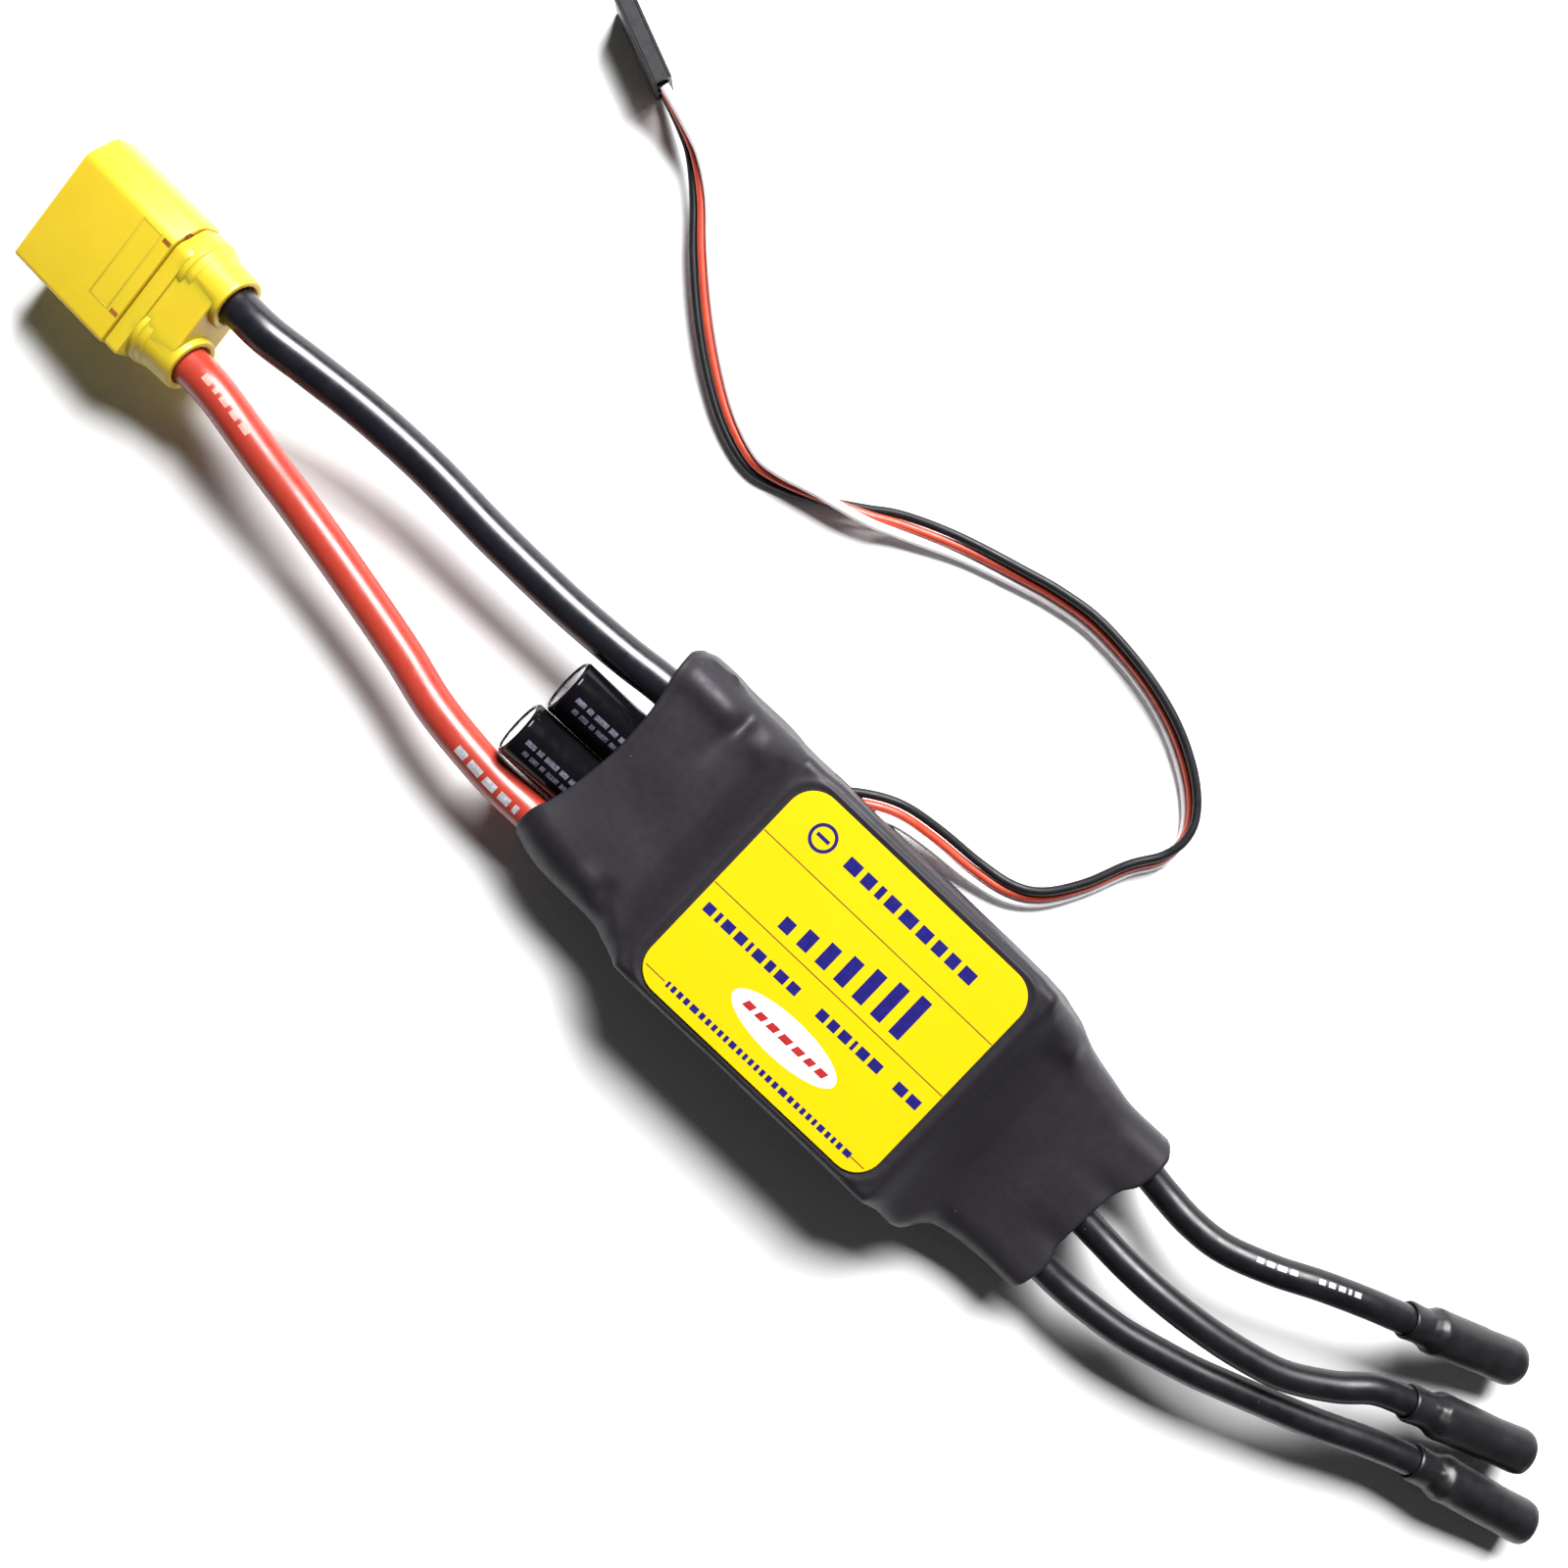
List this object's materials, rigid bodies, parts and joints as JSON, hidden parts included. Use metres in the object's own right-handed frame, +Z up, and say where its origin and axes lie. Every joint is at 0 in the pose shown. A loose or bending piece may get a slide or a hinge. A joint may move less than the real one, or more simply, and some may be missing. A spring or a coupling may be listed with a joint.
{
  "type": "electronic speed controller",
  "caption": "Shrink-wrapped brushless motor speed controller with battery leads and keyed connector, three motor leads with bullet sockets, and a signal ribbon with its plug.",
  "frame": {"origin": "on the surface the body rests on, under the middle of the wrapped body", "axes": "+X from the battery end towards the motor end, +Y towards the side where the signal lead comes out, +Z up through the label"},
  "size_m": [0.2554, 0.0915, 0.018],
  "materials": {
    "wrap": "satin shrink film",
    "label": "printed film",
    "aluminium": "milled",
    "board": "solder mask",
    "chip": "moulded epoxy",
    "ferrite": "pressed powder",
    "pad": "soft silicone",
    "copper": "tinned copper",
    "tin": "tinned",
    "gold": "gold plated",
    "can": "drawn",
    "cap_skin": "glossy shrink film",
    "rubber": "moulded",
    "connector": "moulded nylon",
    "shrink": "satin shrink film",
    "plug": "moulded",
    "black_lead": "glossy silicone",
    "red_lead": "glossy silicone",
    "white_lead": "pvc"
  },
  "bodies": {
    "root": {"heat_shrink_sleeve": "wrap", "label": "label", "heatsink_plate": "aluminium", "power_board": "board", "control_board": "board", "thermal_pad": "pad", "mosfet_1": "chip", "mosfet_2": "chip", "mosfet_3": "chip", "mosfet_4": "chip", "mosfet_5": "chip", "mosfet_6": "chip", "mosfet_7": "chip", "mosfet_8": "chip", "mosfet_9": "chip", "mosfet_10": "chip", "mosfet_11": "chip", "mosfet_12": "chip", "microcontroller": "chip", "gate_driver": "chip", "bec_regulator": "chip", "board_header": "chip", "bec_inductor": "ferrite", "bus_bar_negative": "copper", "bus_bar_positive": "copper", "phase_tab_1": "copper", "phase_tab_2": "copper", "phase_tab_3": "copper", "capacitor_1_can": "can", "capacitor_1_skin": "cap_skin", "capacitor_1_bung": "rubber", "capacitor_1_leg_positive": "tin", "capacitor_1_leg_negative": "tin", "capacitor_2_can": "can", "capacitor_2_skin": "cap_skin", "capacitor_2_bung": "rubber", "capacitor_2_leg_positive": "tin", "capacitor_2_leg_negative": "tin", "connector_housing": "connector", "connector_tail_cap": "connector", "connector_pin_positive": "gold", "connector_pin_negative": "gold", "bullet_socket_1": "gold", "bullet_sleeve_1": "shrink", "servo_contact_1": "tin", "motor_lead_1": "black_lead", "bullet_socket_2": "gold", "bullet_sleeve_2": "shrink", "servo_contact_2": "tin", "motor_lead_2": "black_lead", "bullet_socket_3": "gold", "bullet_sleeve_3": "shrink", "servo_contact_3": "tin", "motor_lead_3": "black_lead", "servo_plug_housing": "plug", "battery_lead_black": "black_lead", "servo_wire_black": "black_lead", "battery_lead_red": "red_lead", "servo_wire_red": "red_lead", "servo_wire_white": "white_lead"}
  },
  "joints": []
}
